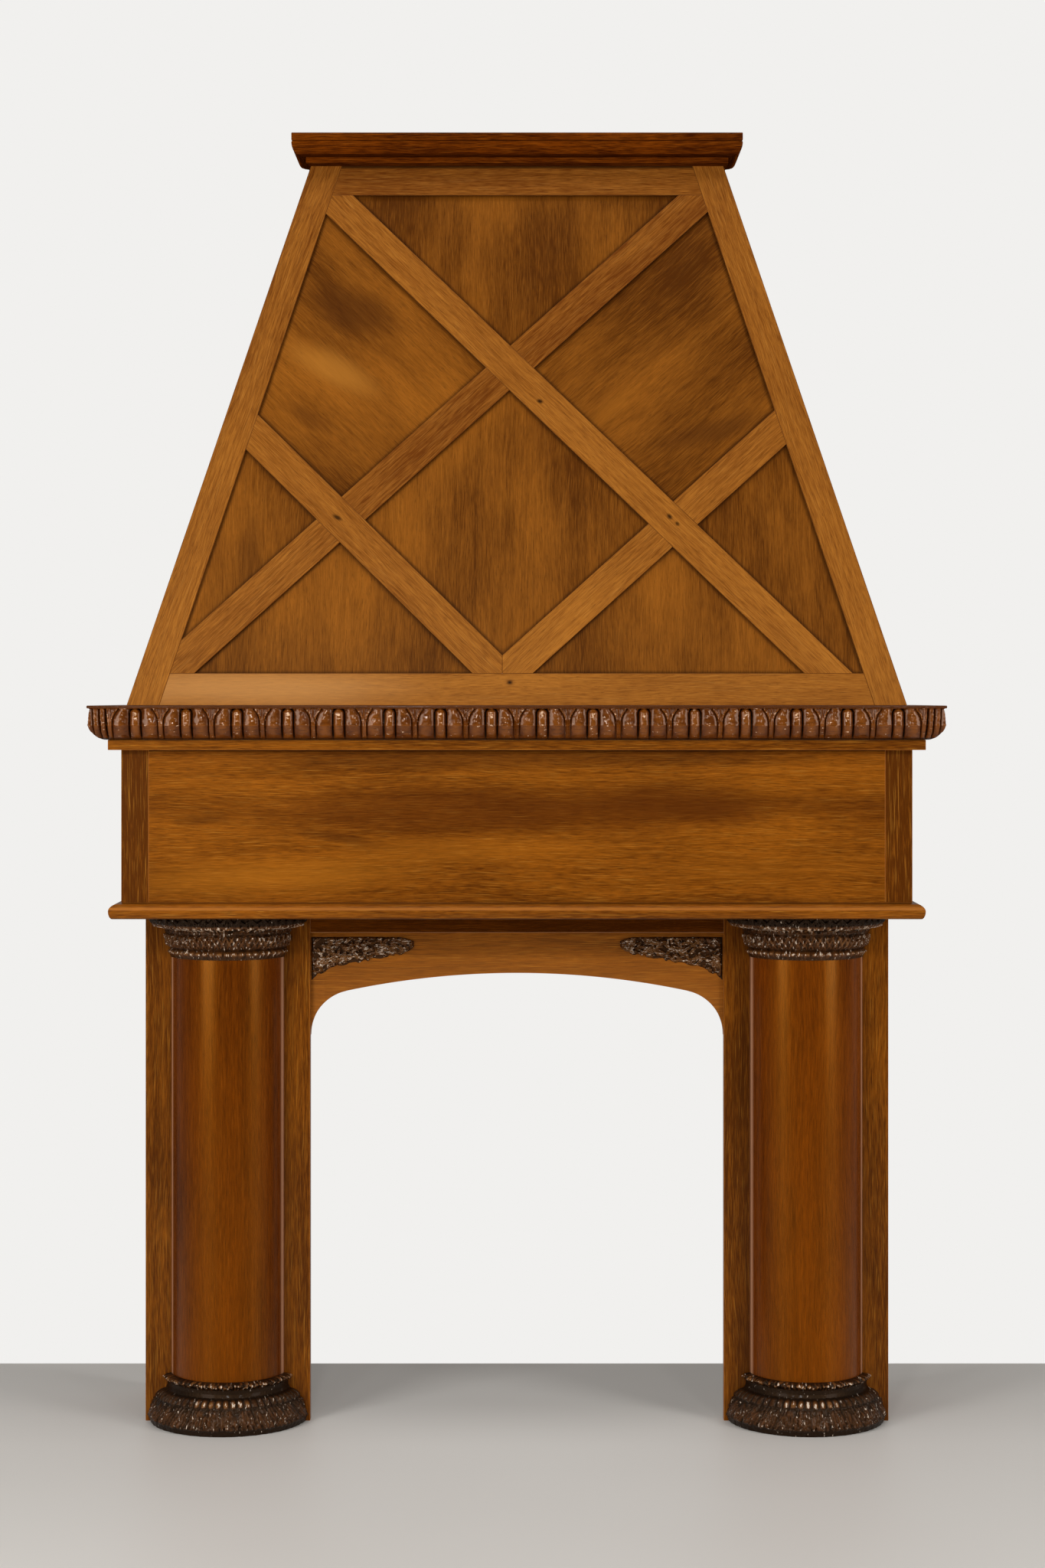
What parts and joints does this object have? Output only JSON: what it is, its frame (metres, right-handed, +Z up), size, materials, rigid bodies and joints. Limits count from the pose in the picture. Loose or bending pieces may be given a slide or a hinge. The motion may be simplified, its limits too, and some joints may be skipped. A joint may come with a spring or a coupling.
{
  "type": "fireplace mantel",
  "caption": "Hooded fireplace mantel: half-round columns, arched opening, frieze box, shelf with a carved egg-and-dart edge and a tapering lattice-front hood. Stands against a wall.",
  "frame": {"origin": "on the floor, at the middle of the object's box in plan", "axes": "+Z up, -Y to the front of the mantel, +X to the right when facing it"},
  "size_m": [1.7316, 0.506, 2.712],
  "materials": {
    "honey_wood": "stained and polished, honey brown with fine straight grain",
    "panel_wood": "stained and polished, cloudy mid brown",
    "amber_wood": "stained and polished, amber brown with long grain streaks",
    "red_wood": "dark reddish brown, glossy varnish",
    "dark_carving": "very dark brown carved wood, glossy varnish"
  },
  "bodies": {
    "root": {"leg_board_right": "amber_wood", "leg_board_left": "amber_wood", "leg_side_right": "amber_wood", "leg_side_left": "amber_wood", "column_shaft_right": "red_wood", "column_shaft_left": "red_wood", "column_capital_right": "dark_carving", "column_capital_left": "dark_carving", "column_base_right": "dark_carving", "column_base_left": "dark_carving", "arch_board": "amber_wood", "arch_batten": "amber_wood", "spandrel_carving_right": "dark_carving", "spandrel_carving_left": "dark_carving", "frieze_front": "amber_wood", "frieze_stile_right": "amber_wood", "frieze_stile_left": "amber_wood", "frieze_side_right": "amber_wood", "frieze_side_left": "amber_wood", "nosing_board": "amber_wood", "shelf_board": "honey_wood", "fillet_board": "amber_wood", "shelf_carving_front": "red_wood", "shelf_carving_right": "red_wood", "shelf_carving_left": "red_wood", "hood_stile_right": "honey_wood", "hood_stile_left": "honey_wood", "hood_top_rail": "honey_wood", "hood_bottom_rail": "honey_wood", "lattice_long_falling": "honey_wood", "lattice_long_rising": "honey_wood", "lattice_short_falling": "honey_wood", "lattice_short_rising": "honey_wood", "panel_top": "panel_wood", "panel_upper_left": "panel_wood", "panel_upper_right": "panel_wood", "panel_centre": "panel_wood", "panel_left": "panel_wood", "panel_right": "panel_wood", "panel_bottom_left": "panel_wood", "panel_bottom_right": "panel_wood", "hood_side_bottom_rail_right": "honey_wood", "hood_side_bottom_rail_left": "honey_wood", "hood_side_top_rail_right": "honey_wood", "hood_side_top_rail_left": "honey_wood", "hood_side_rear_stile_right": "honey_wood", "hood_side_rear_stile_left": "honey_wood", "hood_side_panel_right": "panel_wood", "hood_side_panel_left": "panel_wood", "crown_front": "red_wood", "crown_return_right": "red_wood", "crown_return_left": "red_wood", "top_board": "panel_wood"}
  },
  "joints": []
}
